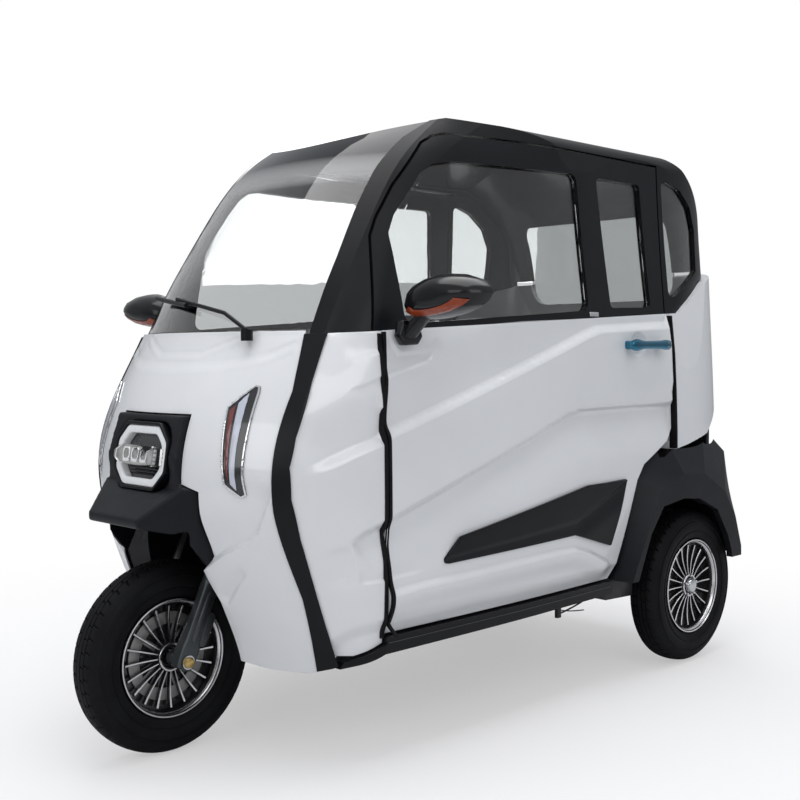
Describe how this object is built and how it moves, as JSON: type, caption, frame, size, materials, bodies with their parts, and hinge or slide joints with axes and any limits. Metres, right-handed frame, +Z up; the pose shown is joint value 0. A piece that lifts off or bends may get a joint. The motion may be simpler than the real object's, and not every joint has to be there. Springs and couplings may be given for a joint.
{
  "type": "enclosed electric tricycle",
  "caption": "Enclosed electric tricycle with a glazed two-row cabin, front-hinged side doors, one steered front wheel and a sprung rear axle.",
  "frame": {"origin": "on the floor, at the middle of the vehicle's bounding box seen from above", "axes": "+Z up, the nose faces -Y, +X is the vehicle's left side"},
  "size_m": [1.4338, 2.059, 1.5619],
  "materials": {
    "white_panel": "glossy pearl white",
    "black_frame": "satin black",
    "black_plastic": "grained black",
    "clear_glass": "smoked",
    "lamp": "clear lens",
    "red_lamp": "red lens",
    "tyre": "matt",
    "rim": "black with machined edges",
    "steel": "satin",
    "frame_paint": "satin black",
    "grey_metal": "satin grey",
    "blue_chrome": "blue tinted chrome",
    "seat_cover": "black synthetic leather"
  },
  "bodies": {
    "body": {"front_cowl": "white_panel", "front_mudguard": "black_plastic", "wheel_arch_liner": "black_plastic", "headlamp": "lamp", "turn_lamps": "lamp", "windshield": "clear_glass", "wiper": "black_plastic", "side_frame_left": "black_frame", "side_frame_right": "black_frame", "front_quarter_left": "white_panel", "front_quarter_right": "white_panel", "roof_panel": "black_frame", "rear_body": "white_panel", "rear_quarter_glass": "clear_glass", "rear_window": "clear_glass", "rear_fender_left": "black_plastic", "rear_fender_right": "black_plastic", "rear_valance": "black_plastic", "tail_lamps": "red_lamp", "sills": "black_plastic", "floor_pan": "frame_paint", "chassis_frame": "frame_paint", "leaf_springs": "frame_paint", "rear_axle": "frame_paint", "dashboard": "black_plastic", "seat_box": "black_plastic", "driver_seat": "seat_cover", "rear_bench": "seat_cover"},
    "steering": {"front_fork": "grey_metal", "handlebar": "grey_metal"},
    "front_wheel": {"front_tyre": "tyre", "front_rim": "rim", "brake_disc": "steel"},
    "rear_wheel_left": {"rear_tyre_left": "tyre", "rear_rim_left": "rim"},
    "rear_wheel_right": {"rear_tyre_right": "tyre", "rear_rim_right": "rim"},
    "door_left": {"door_panel_left": "white_panel", "door_frame_left": "black_frame", "door_glass_left": "clear_glass", "door_trim_left": "black_plastic", "door_handle_left": "blue_chrome", "wing_mirror_left": "black_frame"},
    "door_right": {"door_panel_right": "white_panel", "door_frame_right": "black_frame", "door_glass_right": "clear_glass", "door_trim_right": "black_plastic", "door_handle_right": "blue_chrome", "wing_mirror_right": "black_frame"}
  },
  "joints": [
    {"name": "steering", "type": "hinge", "parent": "body", "child": "steering", "pos_m": [0, -0.5778, 0.6368], "axis": [0, 0.4226, 0.9063], "range_deg": [-30, 30]},
    {"name": "front_wheel_spin", "type": "hinge", "parent": "steering", "child": "front_wheel", "pos_m": [0, -0.8, 0.229], "axis": [-1, 0, 0], "continuous": true},
    {"name": "rear_wheel_left_spin", "type": "hinge", "parent": "body", "child": "rear_wheel_left", "pos_m": [0.456, 0.756, 0.229], "axis": [-1, 0, 0], "continuous": true},
    {"name": "rear_wheel_right_spin", "type": "hinge", "parent": "body", "child": "rear_wheel_right", "pos_m": [-0.456, 0.756, 0.229], "axis": [-1, 0, 0], "continuous": true},
    {"name": "door_left_hinge", "type": "hinge", "parent": "body", "child": "door_left", "pos_m": [0.481, -0.513, 0.65], "axis": [0, 0, -1], "range_deg": [0, 60]},
    {"name": "door_right_hinge", "type": "hinge", "parent": "body", "child": "door_right", "pos_m": [-0.481, -0.513, 0.65], "axis": [0, 0, 1], "range_deg": [0, 60]}
  ]
}
